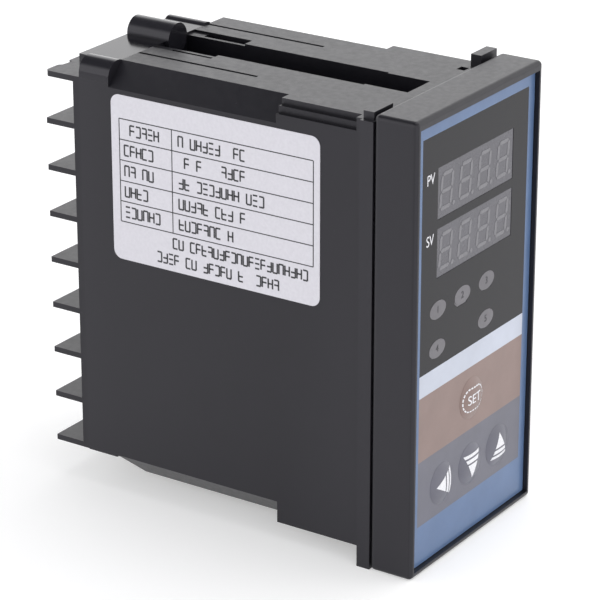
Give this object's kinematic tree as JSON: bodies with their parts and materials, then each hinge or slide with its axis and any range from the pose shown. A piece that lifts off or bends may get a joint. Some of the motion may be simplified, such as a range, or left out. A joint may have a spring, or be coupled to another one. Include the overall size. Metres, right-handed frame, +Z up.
{
  "type": "panel-mount temperature controller",
  "caption": "Upright panel-mounted temperature controller: moulded case with rear screw terminals, and a pull-out chassis with displays and domed keys.",
  "frame": {"origin": "centre of the object's bounding box in plan, at the height of the bezel's lower edge", "axes": "+Z up, front towards -Y, +X to the right of someone facing the front"},
  "size_m": [0.048, 0.0896, 0.0976],
  "materials": {
    "case": "fine moulded texture",
    "bar": "smooth moulded",
    "label": "printed, satin",
    "base": "fine moulded texture",
    "contact": "satin",
    "washer": "zinc plated",
    "screw": "zinc plated",
    "bezel": "fine moulded texture",
    "overlay": "printed polyester film, satin",
    "smoked_film": "smoked film",
    "display": "grey display face",
    "lamp": "diffusing lens",
    "key": "domed film over a key",
    "plunger": "moulded",
    "switch": "moulded",
    "board": "solder-masked laminate",
    "header": "moulded",
    "spacer": "moulded nylon",
    "socket": "moulded",
    "core": "varnished laminations",
    "coil": "taped winding",
    "relay": "moulded",
    "capacitor": "sleeved can",
    "varistor": "coated disc",
    "fuse": "glass tube",
    "chip": "moulded",
    "can": "metal can"
  },
  "bodies": {
    "case": {"case_shell": "case", "bracket_bar": "bar", "rating_label": "label", "terminal_base": "base", "terminal_contacts": "contact", "terminal_washers": "washer", "terminal_screws": "screw"},
    "chassis": {"bezel": "bezel", "front_overlay": "overlay", "display_window": "smoked_film", "pv_display": "display", "sv_display": "display", "indicator_lamps": "lamp", "key_switches": "switch", "display_board": "board", "main_board": "board", "power_board": "board", "board_headers": "header", "board_spacers": "spacer", "left_socket": "socket", "right_socket": "socket", "transformer_core": "core", "transformer_coil": "coil", "output_relay": "relay", "alarm_relay": "relay", "filter_capacitor": "capacitor", "varistor": "varistor", "fuse": "fuse", "processor_chip": "chip", "signal_chips": "chip", "crystal": "can"},
    "set_button": {"set_key": "key", "set_plunger": "plunger"},
    "shift_button": {"shift_key": "key", "shift_plunger": "plunger"},
    "down_button": {"down_key": "key", "down_plunger": "plunger"},
    "up_button": {"up_key": "key", "up_plunger": "plunger"}
  },
  "joints": [
    {"name": "chassis_slide", "type": "slide", "parent": "case", "child": "chassis", "axis": [0, -1, 0], "range_m": [0, 0.075]},
    {"name": "set_press", "type": "slide", "parent": "chassis", "child": "set_button", "axis": [0, 1, 0], "range_m": [0, 0.0005], "stiffness_N_per_m": 600, "springref_m": -0.0008},
    {"name": "shift_press", "type": "slide", "parent": "chassis", "child": "shift_button", "axis": [0, 1, 0], "range_m": [0, 0.0005], "stiffness_N_per_m": 600, "springref_m": -0.0008},
    {"name": "down_press", "type": "slide", "parent": "chassis", "child": "down_button", "axis": [0, 1, 0], "range_m": [0, 0.0005], "stiffness_N_per_m": 600, "springref_m": -0.0008},
    {"name": "up_press", "type": "slide", "parent": "chassis", "child": "up_button", "axis": [0, 1, 0], "range_m": [0, 0.0005], "stiffness_N_per_m": 600, "springref_m": -0.0008}
  ]
}
